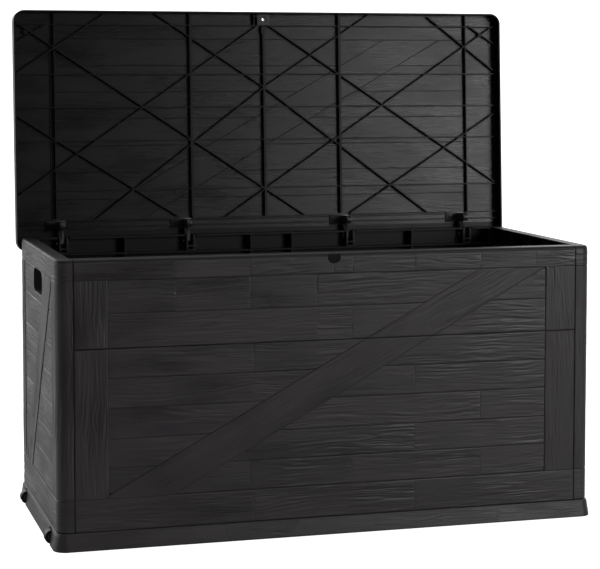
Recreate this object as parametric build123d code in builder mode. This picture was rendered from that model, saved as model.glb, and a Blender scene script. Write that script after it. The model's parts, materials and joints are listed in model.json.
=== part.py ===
"""Deck storage box: a wood-effect panel box on a base tray, with a ribbed hinged lid shown open.

Millimetres. The origin is on the ground under the middle of the box, +X to its right,
+Y to its back and +Z up. The panels are thin skins with ribs and flanges on the inside.
"""

from math import cos, hypot, radians, sin

from build123d import *
import os

os.makedirs("parts", exist_ok=True)

# Driving dimensions of the box
BODY_W = 1172.0  # over the wall panels, along X
BODY_D = 532.0  # over the wall panels, along Y
RIM_Z = 598.0  # top of the wall panels
BASE_TOP = 37.0  # top of the base tray, on which the panels stand
SEAM_Z = 414.0  # joint between the lower and upper long panels
SEAM_GAP = 0.3  # half the width of that joint
CORNER_R = 22.0
WALL = 30.0  # depth of a panel over its ribs
SKIN = 4.5  # thickness of a panel where a frame board stands
RIB = 3.0
RIM_ROUND = 6.0
LEDGE_Z = 558.5  # inner ledge under the rim

# Board pattern moulded into the panels
RAIL_TOP = 554.0
RAIL_LOW = 105.0
PLANK_LINES = (166, 227, 290, 352, 414, 485)
FIELD_DEPTH = 1.5  # planks lie this far behind the frame boards
GROOVE = 2.4
GROOVE_DEPTH = 1.0
JOINT_DEPTH = 3.5  # rebate where a panel meets the tray or the panel below it
LONG_STILE = 481.0  # inner edge of the stiles on the long walls
SIDE_STILE = 203.0
LONG_BRACE = ((-481, 105), (-481, 111), (329, 554), (481, 554), (-343, 105))
SIDE_BRACE = ((-203, 105), (107, 554), (203, 554), (-107, 105))

# Where the long panels meet the side panels, and how pieces plug together
PANEL_HALF = 550.6
RETURN_X = 551.8
TONGUE_T = 3.0
TONGUE_W = 40.0
TONGUE_LEN = 10.0
TONGUE_BACK = 12.0  # middle of a tongue behind the outer face
SLOT_PLAY = 0.5
LONG_TONGUES = (-450, -270, -90, 90, 270, 450)
SIDE_TONGUES = (-110, 110)
EDGE_TONGUES = (120, 250, 370, 470, 530)
LONG_RIBS = (-350, -50, 50, 350)
SIDE_RIBS = (-236, -110, 0, 110, 236)

# Openings in the walls
HAND_W, HAND_H, HAND_R = 125.0, 50.0, 18.0
HAND_Z = 526.5
DUCT_DEPTH = 28.0
NOTCH_W, NOTCH_TOP, NOTCH_LOW = 28.0, 595.0, 575.0
LOCK_Y = -257.0
LOCK_R = 4.0

# Base tray
SKIRT_W, SKIRT_D, SKIRT_R = 1188.0, 548.0, 27.0
SKIRT_TAPER = 9.5
SKIRT_WALL = 4.0
FLOOR_T = 4.0
KERB_H = 10.0
PAD_R = 20.0

# Rollers at the left end
WHEEL_X, WHEEL_Z, WHEEL_Y = -589.0, 16.0, 187.0
WHEEL_R, WHEEL_W = 14.5, 22.0
AXLE_R = 2.5
CHEEK_T = 3.5
CHEEK_GAP = 1.0

# Hinge
HINGE_Y, HINGE_Z = 265.0, 580.0
OPEN_ANGLE = 93.0
HINGE_X = (-492.0, -195.0, 195.0, 492.0)
PIN_R = 3.0
PIN_HEAD_R, PIN_HEAD_T = 4.5, 2.2
KNUCKLE_R = 6.5
RUN = 0.05  # radial running clearance
ARM_W = 11.0
CHEEK_IN, CHEEK_OUT = 6.2, 10.2
BRACKET_Y, BRACKET_LOW, BRACKET_TOP = 238.0, 560.5, 597.5
BRACKET_BACK_TOP = 573.5
BRACKET_HALF = 20.0
HINGE_NOTCH_HALF, HINGE_NOTCH_Z = 13.5, 572.8
SCREW_R, SCREW_HEAD_R, SCREW_HEAD_T = 1.5, 3.6, 2.2
SCREW_PLAY = 0.03
BRACKET_SCREW_X, BRACKET_SCREW_Z = 14.0, 566.5
ARM_SCREW_X = 11.5

# Lid, in its own frame: u along X, v to the rear and w out of its top, all from the hinge axis
LID_W = 1189.0
LID_REAR, LID_FRONT = 15.0, -538.0
LID_R = 25.0
LID_TOP, LID_UNDER = 33.0, 29.5
LIP_T = 3.2
LIP_LOW, REAR_LIP_LOW = -1.0, 3.5
LID_RIB_LOW = 18.5
LID_EDGE = 4.0
LID_STILE = 510.0
LID_RAILS = (64.0, 490.0)
LID_PLANKS = (117, 179, 241, 304, 366, 428)
LID_BRACE = ((-440, 64), (303, 490), (447, 490), (-303, 64))
LID_FIELD_DEPTH = 1.0
CROSS_RIBS = (53, 69, 138, 253, 330, 407, 522)
LENGTH_RIBS = ((-500, 2.0), (-178, 5.5), (0, 5.5), (188, 5.5), (511, 2.0))
# ends of the diagonal ribs by (x, distance from the rear edge)
DIAGONALS = (
    ((-585, 310), (-206, 69)),
    ((585, 310), (206, 69)),
    ((-440, 46), (0, 376)),
    ((440, 46), (0, 376)),
    ((-585, 525), (135, 45)),
    ((585, 525), (-135, 45)),
    ((-262, 549), (0, 376)),
    ((262, 549), (0, 376)),
    ((-585, 129), (20, 545)),
    ((585, 141), (-20, 545)),
    ((-585, 411), (-382, 546)),
    ((590, 411), (414, 545)),
    ((-590, 479), (-517, 522)),
    ((590, 478), (520, 524)),
)
LID_RIB = 2.2
RIBS_REAR = 69.0
PLATE_HALF, PLATE_T = 25.0, 3.0
PLATE_X = -10.0  # the arm stands off the middle of its plate
PLATE_S = (45.0, 69.0)
HUMP_V, HUMP_W, HUMP_R = -42.5, -10.0, 9.5  # rounded front of an arm
CORNER_BOSSES = ((-565, 504), (550, 502))
CORNER_BOSS_R = 5.0
# boss on the middle rib: place from the back edge, then width, depth and corner radius
MIDDLE_BOSS_S, MIDDLE_BOSS = 511.0, (11.0, 15.0, 3.0)
# boss round the padlock hole: where it starts, its half width, and the rib beside it
LOCK_BOSS_S, LOCK_BOSS_HALF, LOCK_RIB_X = 522.0, 16.0, -23.0
# room left in the rib lattice round each arm's foot: behind, in front and at each side
FOOT_BEHIND, FOOT_BEFORE, FOOT_BESIDE = 3.0, 4.0, 0.6
PILOT_DEPTH = 2.2

FRONT = Plane(origin=(0, -BODY_D / 2, 0), x_dir=(1, 0, 0), z_dir=(0, -1, 0))
BACK = Plane(origin=(0, BODY_D / 2, 0), x_dir=(-1, 0, 0), z_dir=(0, 1, 0))
LEFT = Plane(origin=(-BODY_W / 2, 0, 0), x_dir=(0, -1, 0), z_dir=(-1, 0, 0))
RIGHT = Plane(origin=(BODY_W / 2, 0, 0), x_dir=(0, 1, 0), z_dir=(1, 0, 0))
HALF_TURN = Plane(origin=(0, 0, 0), x_dir=(-1, 0, 0), z_dir=(0, 0, 1))
LID = Plane(
    origin=(0, HINGE_Y, HINGE_Z),
    x_dir=(1, 0, 0),
    z_dir=(0, sin(radians(OPEN_ANGLE)), cos(radians(OPEN_ANGLE))),
)


def save(part, label):
    """Label a finished piece and write it under that name."""
    part.label = label
    export_step(part, f"parts/{label}.step")


def span(low, high, half, centre=0.0, mode=Mode.ADD):
    """Rectangle of a given half width between two heights of the sketch."""
    with Locations((centre, (low + high) / 2)):
        Rectangle(2 * half, high - low, mode=mode)


def cut_boards(face, stile, brace, width):
    """Sink the planks between stiles, rails and brace, and cut the lines between boards."""
    with BuildSketch(face) as field:
        span(RAIL_LOW, RAIL_TOP, stile)
        Polygon(*brace, mode=Mode.SUBTRACT)
    extrude(field.sketch, amount=-FIELD_DEPTH, mode=Mode.SUBTRACT)
    with BuildSketch(face) as plank_joints:
        for line in PLANK_LINES:
            span(line - GROOVE / 2, line + GROOVE / 2, stile)
        Polygon(*brace, mode=Mode.SUBTRACT)
    extrude(plank_joints.sketch, amount=-(FIELD_DEPTH + GROOVE_DEPTH), mode=Mode.SUBTRACT)
    with BuildSketch(face) as rail_joints:
        for line in (RAIL_LOW, RAIL_TOP):
            span(line - GROOVE / 2, line + GROOVE / 2, width)
    extrude(rail_joints.sketch, amount=-GROOVE_DEPTH, mode=Mode.SUBTRACT)


def long_panel(face, low, high, rimmed):
    """Lower or upper half of a long wall: skin outside, ribs and flanges inside."""
    with BuildPart() as panel:
        with BuildSketch(face):
            span(low, high, PANEL_HALF)
        extrude(amount=-WALL)
        if rimmed:
            top_edges = panel.edges().filter_by(Axis.X).group_by(Axis.Z)[-1]
            fillet(top_edges.sort_by(lambda edge: abs(edge.center().Y))[-1], RIM_ROUND)
        with BuildSketch(face.offset(-WALL)):
            span(low + RIB, high - RIB, PANEL_HALF - RIB)
            for rib in LONG_RIBS:
                span(low, high, RIB / 2, rib, Mode.SUBTRACT)
            span(LEDGE_Z - RIB / 2, LEDGE_Z + RIB / 2, PANEL_HALF, 0, Mode.SUBTRACT)
        extrude(amount=WALL - SKIN, mode=Mode.SUBTRACT)
        cut_boards(face, LONG_STILE, LONG_BRACE, PANEL_HALF)
        with BuildSketch(face):
            span(SEAM_Z - GROOVE / 2, SEAM_Z + GROOVE / 2, PANEL_HALF)
            span(BASE_TOP, BASE_TOP + GROOVE, PANEL_HALF)
        extrude(amount=-JOINT_DEPTH, mode=Mode.SUBTRACT)
        # tongues down into the piece below, and sideways into the side panels
        tongue_face = face.offset(TONGUE_T / 2 - TONGUE_BACK)
        with BuildSketch(tongue_face):
            for place in LONG_TONGUES:
                span(low - TONGUE_LEN, low + RIB, TONGUE_W / 2, place)
            for height in EDGE_TONGUES:
                if low + TONGUE_W < height < high - TONGUE_W / 2:
                    span(height - 15, height + 15, PANEL_HALF + TONGUE_LEN)
            span(low + RIB, high - RIB, PANEL_HALF - RIB, 0, Mode.SUBTRACT)
        extrude(amount=-TONGUE_T)
        if not rimmed:
            with BuildSketch(Plane.XY.offset(high)):
                tongue_slots(face)
            extrude(amount=-RIB, mode=Mode.SUBTRACT)
    return panel


def tongue_slots(face):
    """Slots in plan for the tongues along one long wall."""
    depth = face.z_dir.Y * (BODY_D / 2 - TONGUE_BACK)
    with Locations(*[(place, depth) for place in LONG_TONGUES]):
        Rectangle(TONGUE_W + 2 * SLOT_PLAY, TONGUE_T + 2 * SLOT_PLAY)


def side_panel(ground, face):
    """End wall in one piece, wrapped round both corners, with a hand hole."""
    with BuildPart() as panel:
        with BuildSketch(ground.offset(BASE_TOP)):
            RectangleRounded(BODY_W, BODY_D, CORNER_R)
            with Locations((BODY_W - RETURN_X, 0)):
                Rectangle(2 * BODY_W, 2 * BODY_D, mode=Mode.SUBTRACT)
        extrude(amount=RIM_Z - BASE_TOP)
        top_edges = panel.edges().group_by(Axis.Z)[-1]
        fillet(top_edges.filter_by(lambda edge: abs(edge.center().X) > RETURN_X + 1), RIM_ROUND)
        # open the inside between the two corner posts
        with BuildSketch(ground.offset(BASE_TOP)):
            Rectangle(BODY_W - 2 * WALL, BODY_D - 2 * WALL)
        extrude(amount=RIM_Z - BASE_TOP, mode=Mode.SUBTRACT)
        levels = (BASE_TOP + RIB, SEAM_Z, LEDGE_Z - RIB / 2, RIM_Z)
        for low, high in zip(levels, levels[1:]):
            with BuildSketch(ground.offset(low)):
                RectangleRounded(BODY_W - 2 * SKIN, BODY_D - 2 * SKIN, CORNER_R - SKIN)
                with Locations((BODY_W - RETURN_X - RIB, 0)):
                    Rectangle(2 * BODY_W, 2 * BODY_D, mode=Mode.SUBTRACT)
                with Locations(*[(-BODY_W / 2, rib) for rib in SIDE_RIBS]):
                    Rectangle(2 * WALL, RIB, mode=Mode.SUBTRACT)
            extrude(amount=high - low - RIB, mode=Mode.SUBTRACT)
        cut_boards(face, SIDE_STILE, SIDE_BRACE, BODY_D / 2 - CORNER_R)
        rings = [(line - GROOVE / 2, GROOVE_DEPTH) for line in (RAIL_LOW, RAIL_TOP)]
        for low, depth in (*rings, (BASE_TOP, JOINT_DEPTH)):
            with BuildSketch(ground.offset(low)):
                Rectangle(2 * BODY_W, 2 * BODY_D)
                RectangleRounded(
                    BODY_W - 2 * depth,
                    BODY_D - 2 * depth,
                    CORNER_R - depth,
                    mode=Mode.SUBTRACT,
                )
            extrude(amount=GROOVE, mode=Mode.SUBTRACT)
        # hand hole with a duct behind it
        with BuildSketch(face.offset(-DUCT_DEPTH)):
            with Locations((0, HAND_Z)):
                RectangleRounded(HAND_W + 2 * RIB, HAND_H + 2 * RIB, HAND_R + RIB)
        extrude(amount=DUCT_DEPTH - SKIN)
        with BuildSketch(face):
            with Locations((0, HAND_Z)):
                RectangleRounded(HAND_W, HAND_H, HAND_R)
        extrude(amount=-2 * WALL, mode=Mode.SUBTRACT)
        # tongues into the base, and slots for the tongues of the long panels
        with BuildSketch(face.offset(TONGUE_T / 2 - TONGUE_BACK)):
            for place in SIDE_TONGUES:
                span(BASE_TOP - TONGUE_LEN, BASE_TOP + RIB, TONGUE_W / 2, place)
        extrude(amount=-TONGUE_T)
        for wall in (FRONT, BACK):
            with BuildSketch(wall.offset(TONGUE_T / 2 + SLOT_PLAY - TONGUE_BACK)):
                for height in EDGE_TONGUES:
                    span(height - 15.5, height + 15.5, RETURN_X + RIB)
            extrude(amount=-(TONGUE_T + 2 * SLOT_PLAY), mode=Mode.SUBTRACT)
    return panel


def lid_span(s_low, s_high, half, centre=0.0, mode=Mode.ADD):
    """Rectangle on the lid between two distances from its rear edge."""
    span(LID_REAR - s_high, LID_REAR - s_low, half, centre, mode)


def on_lid(points):
    """Lid sketch points from (x, distance from the rear edge)."""
    return [(x, LID_REAR - s) for x, s in points]


def screw_sites(spacing):
    """Both screw places at each of the four hinges."""
    return [(hinge + side * spacing, side) for hinge in HINGE_X for side in (-1, 1)]


# ---- wall panels ----
front_lower = long_panel(FRONT, BASE_TOP, SEAM_Z - SEAM_GAP, False)
save(front_lower.part, "front_lower_panel")

with BuildPart() as front_upper:
    add(long_panel(FRONT, SEAM_Z + SEAM_GAP, RIM_Z, True).part)
    # lock notch: flat under the rim, round below
    half = NOTCH_W / 2
    with BuildSketch(FRONT):
        with BuildLine():
            Line((-half, NOTCH_TOP), (half, NOTCH_TOP))
            Line((half, NOTCH_TOP), (half, NOTCH_LOW + half))
            ThreePointArc((half, NOTCH_LOW + half), (0, NOTCH_LOW), (-half, NOTCH_LOW + half))
            Line((-half, NOTCH_LOW + half), (-half, NOTCH_TOP))
        make_face()
    extrude(amount=-2 * SKIN, mode=Mode.SUBTRACT)
    # hole in the rim for a padlock shackle
    with BuildSketch(Plane.XY.offset(RIM_Z)):
        with Locations((0, LOCK_Y)):
            Circle(LOCK_R + 0.5)
    extrude(amount=-RIB, mode=Mode.SUBTRACT)
save(front_upper.part, "front_upper_panel")

back_lower = long_panel(BACK, BASE_TOP, SEAM_Z - SEAM_GAP, False)
save(back_lower.part, "back_lower_panel")

with BuildPart() as back_upper:
    add(long_panel(BACK, SEAM_Z + SEAM_GAP, RIM_Z, True).part)
    # notches for the hinge brackets, and room for their feet on the ledge
    with BuildSketch(Plane.XZ.offset(-BODY_D / 2 - 1)):
        for hinge in HINGE_X:
            span(HINGE_NOTCH_Z, RIM_Z + 1, HINGE_NOTCH_HALF, hinge)
    extrude(amount=WALL + 2, mode=Mode.SUBTRACT)
    with BuildSketch(Plane.XZ.offset(SKIN - BODY_D / 2)):
        for hinge, side in screw_sites(BRACKET_SCREW_X):
            with Locations((hinge, BRACKET_SCREW_Z)):
                Circle(SCREW_R + SCREW_PLAY)
    extrude(amount=-(SKIN - GROOVE_DEPTH), mode=Mode.SUBTRACT)
save(back_upper.part, "back_upper_panel")

left_side = side_panel(Plane.XY, LEFT)
save(left_side.part, "left_side_panel")

right_side = side_panel(HALF_TURN, RIGHT)
save(right_side.part, "right_side_panel")

# ---- base tray ----
with BuildPart() as base:
    with BuildSketch(Plane.XY):
        RectangleRounded(SKIRT_W, SKIRT_D, SKIRT_R)
    extrude(amount=BASE_TOP, taper=SKIRT_TAPER)
    fillet(base.faces().sort_by(Axis.Z)[-1].edges(), 2.5)
    with BuildSketch(Plane.XY):
        RectangleRounded(SKIRT_W - 2 * SKIRT_WALL, SKIRT_D - 2 * SKIRT_WALL, SKIRT_R - SKIRT_WALL)
    extrude(amount=BASE_TOP - FLOOR_T, taper=SKIRT_TAPER, mode=Mode.SUBTRACT)
    # ribs under the floor, and the round pad where the middle ones cross
    with BuildSketch(Plane.XY):
        with GridLocations(0, 130, 1, 3):
            Rectangle(SKIRT_W - 4 * SKIRT_WALL, RIB)
        with GridLocations(180, 0, 7, 1):
            Rectangle(RIB, SKIRT_D - 4 * SKIRT_WALL)
        Circle(PAD_R)
    extrude(amount=BASE_TOP - FLOOR_T)
    # kerb that the panels stand round
    with BuildSketch(Plane.XY.offset(BASE_TOP)):
        RectangleRounded(BODY_W - 2 * WALL - 1, BODY_D - 2 * WALL - 1, RIB)
        Rectangle(BODY_W - 2 * WALL - 1 - 2 * RIB, BODY_D - 2 * WALL - 1 - 2 * RIB, mode=Mode.SUBTRACT)
    extrude(amount=KERB_H)
    # slots for the panels' tongues
    with BuildSketch(Plane.XY.offset(BASE_TOP)):
        tongue_slots(FRONT)
        tongue_slots(BACK)
        side_depth = BODY_W / 2 - TONGUE_BACK
        with Locations(*[(x, y) for x in (-side_depth, side_depth) for y in SIDE_TONGUES]):
            Rectangle(TONGUE_T + 2 * SLOT_PLAY, TONGUE_W + 2 * SLOT_PLAY)
    extrude(amount=-TONGUE_LEN - 2, mode=Mode.SUBTRACT)
    # roller pockets at the left end, each with two cheeks for its axle
    pocket = WHEEL_W / 2 + CHEEK_GAP
    inner_x = WHEEL_X + WHEEL_R + 6
    for wheel_y in (-WHEEL_Y, WHEEL_Y):
        with BuildSketch(Plane.XZ.offset(-wheel_y - pocket - CHEEK_T)):
            with Locations((WHEEL_X, WHEEL_Z)):
                Circle(8)
            span(2, BASE_TOP - FLOOR_T, (inner_x + RIB - WHEEL_X) / 2, (inner_x + RIB + WHEEL_X) / 2)
        extrude(amount=2 * (pocket + CHEEK_T))
        with BuildSketch(Plane.XZ.offset(-wheel_y - pocket)):
            span(-1, BASE_TOP - FLOOR_T, 17.5, inner_x - 17.5)
        extrude(amount=2 * pocket, mode=Mode.SUBTRACT)
        with BuildSketch(Plane.XZ.offset(-wheel_y - 2 * pocket)):
            with Locations((WHEEL_X, WHEEL_Z)):
                Circle(AXLE_R + 0.02)
        extrude(amount=4 * pocket, mode=Mode.SUBTRACT)
save(base.part, "base_tray")

# ---- rollers ----
for name, wheel_y in (("front", -WHEEL_Y), ("rear", WHEEL_Y)):
    with BuildPart() as roller:
        with BuildSketch(Plane.XZ.offset(-wheel_y - WHEEL_W / 2)):
            with Locations((WHEEL_X, WHEEL_Z)):
                Circle(WHEEL_R)
        extrude(amount=WHEEL_W)
        fillet(roller.edges().filter_by(GeomType.CIRCLE), 2)
        for end in (-1, 1):
            with BuildSketch(Plane.XZ.offset(-wheel_y + end * WHEEL_W / 2)):
                with Locations((WHEEL_X, WHEEL_Z)):
                    Circle(WHEEL_R - 4)
                    Circle(AXLE_R + 2.5, mode=Mode.SUBTRACT)
            extrude(amount=-end * 2, mode=Mode.SUBTRACT)
        with BuildSketch(Plane.XZ.offset(-wheel_y - WHEEL_W)):
            with Locations((WHEEL_X, WHEEL_Z)):
                Circle(AXLE_R + RUN)
        extrude(amount=2 * WHEEL_W, mode=Mode.SUBTRACT)
    save(roller.part, f"{name}_roller")

    axle_half = WHEEL_W / 2 + CHEEK_GAP + CHEEK_T + 0.5
    with BuildPart() as axle:
        with BuildSketch(Plane.XZ.offset(-wheel_y - axle_half)):
            with Locations((WHEEL_X, WHEEL_Z)):
                Circle(AXLE_R)
        extrude(amount=2 * axle_half)
        chamfer(axle.edges().filter_by(GeomType.CIRCLE), 0.4)
    save(axle.part, f"{name}_axle")

# ---- hinge brackets on the back wall ----
bracket_back = BODY_D / 2 - SKIN
for number, hinge in enumerate(HINGE_X, 1):
    with BuildPart() as bracket:
        with BuildSketch(Plane.YZ.offset(hinge - CHEEK_OUT)):
            span(BRACKET_LOW, BRACKET_TOP, (bracket_back - BRACKET_Y) / 2, (bracket_back + BRACKET_Y) / 2)
            span(HINGE_Z - KNUCKLE_R, HINGE_Z + KNUCKLE_R, 10, HINGE_Y - 10)
            with Locations((HINGE_Y, HINGE_Z)):
                Circle(KNUCKLE_R)
        extrude(amount=2 * CHEEK_OUT)
        with BuildSketch(Plane.XZ.offset(-bracket_back)):
            span(BRACKET_LOW, BRACKET_BACK_TOP - 1, BRACKET_HALF, hinge)
        extrude(amount=4)
        # slot for the lid's arm, and a hollow below it
        with BuildSketch(Plane.XZ.offset(-BODY_D)):
            span(HINGE_NOTCH_Z, RIM_Z, CHEEK_IN, hinge)
        extrude(amount=BODY_D, mode=Mode.SUBTRACT)
        with BuildSketch(Plane.XZ.offset(-BRACKET_Y)):
            span(BRACKET_LOW + RIB, HINGE_NOTCH_Z - RIB, CHEEK_IN, hinge)
        extrude(amount=-(bracket_back - BRACKET_Y - 4), mode=Mode.SUBTRACT)
        with BuildSketch(Plane.YZ.offset(hinge - BRACKET_HALF)):
            with Locations((HINGE_Y, HINGE_Z)):
                Circle(PIN_R + 0.02)
        extrude(amount=2 * BRACKET_HALF, mode=Mode.SUBTRACT)
        with BuildSketch(Plane.XZ.offset(-bracket_back)):
            with Locations(*[(hinge + side * BRACKET_SCREW_X, BRACKET_SCREW_Z) for side in (-1, 1)]):
                Circle(SCREW_R + 0.2)
        extrude(amount=5, mode=Mode.SUBTRACT)
    save(bracket.part, f"hinge_bracket_{number}")

with BuildPart() as pins:
    for hinge in HINGE_X:
        with BuildSketch(Plane.YZ.offset(hinge - CHEEK_OUT - 0.2)):
            with Locations((HINGE_Y, HINGE_Z)):
                Circle(PIN_R)
        extrude(amount=2 * CHEEK_OUT + 1.4)
        with BuildSketch(Plane.YZ.offset(hinge - CHEEK_OUT - 0.2)):
            with Locations((HINGE_Y, HINGE_Z)):
                Circle(PIN_HEAD_R)
        extrude(amount=-PIN_HEAD_T)
save(pins.part, "hinge_pins")

with BuildPart() as bracket_screws:
    for hinge, side in screw_sites(BRACKET_SCREW_X):
        with BuildSketch(Plane.XZ.offset(4 - bracket_back)):
            with Locations((hinge, BRACKET_SCREW_Z)):
                Circle(SCREW_HEAD_R)
        extrude(amount=SCREW_HEAD_T)
        with BuildSketch(Plane.XZ.offset(4 - bracket_back)):
            with Locations((hinge, BRACKET_SCREW_Z)):
                Circle(SCREW_R)
        extrude(amount=-7)
save(bracket_screws.part, "bracket_screws")

# ---- lid ----
lid_middle = (LID_REAR + LID_FRONT) / 2
lid_depth = LID_REAR - LID_FRONT
with BuildPart() as lid:
    with BuildSketch(LID.offset(LIP_LOW)):
        with Locations((0, lid_middle)):
            RectangleRounded(LID_W, lid_depth, LID_R)
    extrude(amount=LID_TOP - LIP_LOW)
    outer_face = lid.faces().sort_by(lambda face: LID.to_local_coords(face.center()).Z)[-1]
    fillet(outer_face.edges(), LID_EDGE)
    with BuildSketch(LID.offset(LIP_LOW)):
        with Locations((0, lid_middle)):
            RectangleRounded(LID_W - 2 * LIP_T, lid_depth - 2 * LIP_T, LID_R - LIP_T)
    extrude(amount=LID_UNDER - LIP_LOW, mode=Mode.SUBTRACT)
    # shallower rear lip, which swings down behind the wall
    with BuildSketch(LID.offset(LIP_LOW)):
        lid_span(-1, LID_R, BODY_W / 2 - 2)
    extrude(amount=REAR_LIP_LOW - LIP_LOW, mode=Mode.SUBTRACT)
    # boards on the top
    with BuildSketch(LID.offset(LID_TOP)):
        lid_span(*LID_RAILS, LID_STILE)
        Polygon(*on_lid(LID_BRACE), mode=Mode.SUBTRACT)
    extrude(amount=-LID_FIELD_DEPTH, mode=Mode.SUBTRACT)
    with BuildSketch(LID.offset(LID_TOP)):
        for line in LID_PLANKS:
            lid_span(line - GROOVE / 2, line + GROOVE / 2, LID_STILE)
        Polygon(*on_lid(LID_BRACE), mode=Mode.SUBTRACT)
    extrude(amount=-(LID_FIELD_DEPTH + GROOVE_DEPTH), mode=Mode.SUBTRACT)
    # rib lattice under the deck, kept clear of the arms' feet
    with BuildSketch(LID.offset(LID_RIB_LOW)):
        for rib in CROSS_RIBS:
            lid_span(rib - LID_RIB / 2, rib + LID_RIB / 2, LID_W)
        for place, thick in LENGTH_RIBS:
            lid_span(RIBS_REAR, lid_depth, thick / 2, place)
        for (x0, s0), (x1, s1) in DIAGONALS:
            thick = LID_RIB / 2 * hypot(x1 - x0, s1 - s0) / abs(x1 - x0)
            corners = ((x0, s0 - thick), (x1, s1 - thick), (x1, s1 + thick), (x0, s0 + thick))
            Polygon(*on_lid(corners))
        lid_span(RIBS_REAR - LID_RIB / 2, lid_depth - LIP_T / 2, LID_W, 0, Mode.INTERSECT)
        lid_span(CROSS_RIBS[0] - LID_RIB / 2, CROSS_RIBS[0] + LID_RIB / 2, LID_W)
        with Locations((0, lid_middle)):
            RectangleRounded(LID_W - LIP_T, lid_depth - LIP_T, LID_R - LIP_T / 2, mode=Mode.INTERSECT)
        for hinge in HINGE_X:
            foot = (PLATE_S[0] - FOOT_BEHIND, PLATE_S[1] + FOOT_BEFORE, PLATE_HALF + FOOT_BESIDE)
            lid_span(*foot, hinge + PLATE_X, Mode.SUBTRACT)
    extrude(amount=LID_UNDER - LID_RIB_LOW)
    # small bosses in the front corners and behind the padlock
    with BuildSketch(LID.offset(LID_RIB_LOW)):
        with Locations(*on_lid(CORNER_BOSSES)):
            Circle(CORNER_BOSS_R)
        with Locations(*on_lid([(0, MIDDLE_BOSS_S)])):
            RectangleRounded(*MIDDLE_BOSS)
    extrude(amount=LID_UNDER - LID_RIB_LOW)
    # padlock boss behind the front lip, and its hole
    with BuildSketch(LID.offset(LID_RIB_LOW)):
        lid_span(LOCK_BOSS_S, lid_depth - LIP_T / 2, LOCK_BOSS_HALF)
        lid_span(LOCK_BOSS_S, lid_depth - LIP_T / 2, LID_RIB / 2, LOCK_RIB_X)
    extrude(amount=LID_UNDER - LID_RIB_LOW)
    with BuildSketch(LID.offset(LIP_LOW)):
        with Locations((0, LOCK_Y - HINGE_Y)):
            Circle(LOCK_R)
    extrude(amount=LID_TOP + LIP_T, mode=Mode.SUBTRACT)
    # pilot holes for the arms' screws
    with BuildSketch(LID.offset(LID_UNDER)):
        with Locations(*on_lid([(x, sum(PLATE_S) / 2) for x, _ in screw_sites(ARM_SCREW_X)])):
            Circle(SCREW_R + SCREW_PLAY)
    extrude(amount=PILOT_DEPTH, mode=Mode.SUBTRACT)
save(lid.part, "lid_shell")

# ---- lid arms, each turning on its hinge pin ----
plate_under = LID_UNDER - PLATE_T
for number, hinge in enumerate(HINGE_X, 1):
    section = Plane(origin=(hinge, HINGE_Y, HINGE_Z), x_dir=LID.y_dir, z_dir=(1, 0, 0))
    foot_v = LID_REAR - sum(PLATE_S) / 2
    with BuildPart() as arm:
        with BuildSketch(section.offset(-ARM_W / 2)):
            Circle(KNUCKLE_R)
            Polygon((3.9, 5.2), (-3.9, -5.2), (foot_v - 8, plate_under), (foot_v + 12, plate_under))
            with Locations((HUMP_V, HUMP_W)):
                Circle(HUMP_R)
            Polygon(
                (HUMP_V - HUMP_R, HUMP_W),
                (HUMP_V + HUMP_R, HUMP_W),
                (foot_v + 10, plate_under),
                (foot_v - 9, plate_under),
            )
        extrude(amount=ARM_W)
        with BuildSketch(LID.offset(plate_under)):
            lid_span(*PLATE_S, PLATE_HALF, hinge + PLATE_X)
        extrude(amount=PLATE_T)
        with BuildSketch(section.offset(-ARM_W)):
            Circle(PIN_R + RUN)
        extrude(amount=2 * ARM_W, mode=Mode.SUBTRACT)
        with BuildSketch(LID.offset(plate_under - 1)):
            with Locations(*[(hinge + side * ARM_SCREW_X, foot_v) for side in (-1, 1)]):
                Circle(SCREW_R + 0.2)
        extrude(amount=PLATE_T + 2, mode=Mode.SUBTRACT)
    save(arm.part, f"lid_arm_{number}")

with BuildPart() as arm_screws:
    sites = [(x, LID_REAR - sum(PLATE_S) / 2) for x, _ in screw_sites(ARM_SCREW_X)]
    with BuildSketch(LID.offset(plate_under)):
        with Locations(*sites):
            Circle(SCREW_HEAD_R)
    extrude(amount=-SCREW_HEAD_T)
    with BuildSketch(LID.offset(plate_under)):
        with Locations(*sites):
            Circle(SCREW_R)
    extrude(amount=PLATE_T + 2)
save(arm_screws.part, "arm_screws")
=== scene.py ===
"""Looks of the deck storage box: embossed boards on its walls, base and lid, and resin finishes.

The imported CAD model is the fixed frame. This script lays thin relief pieces over its outer
faces, softens the hinge pieces, turns the rollers and lights a plain studio.
"""

import json
import math

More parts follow.
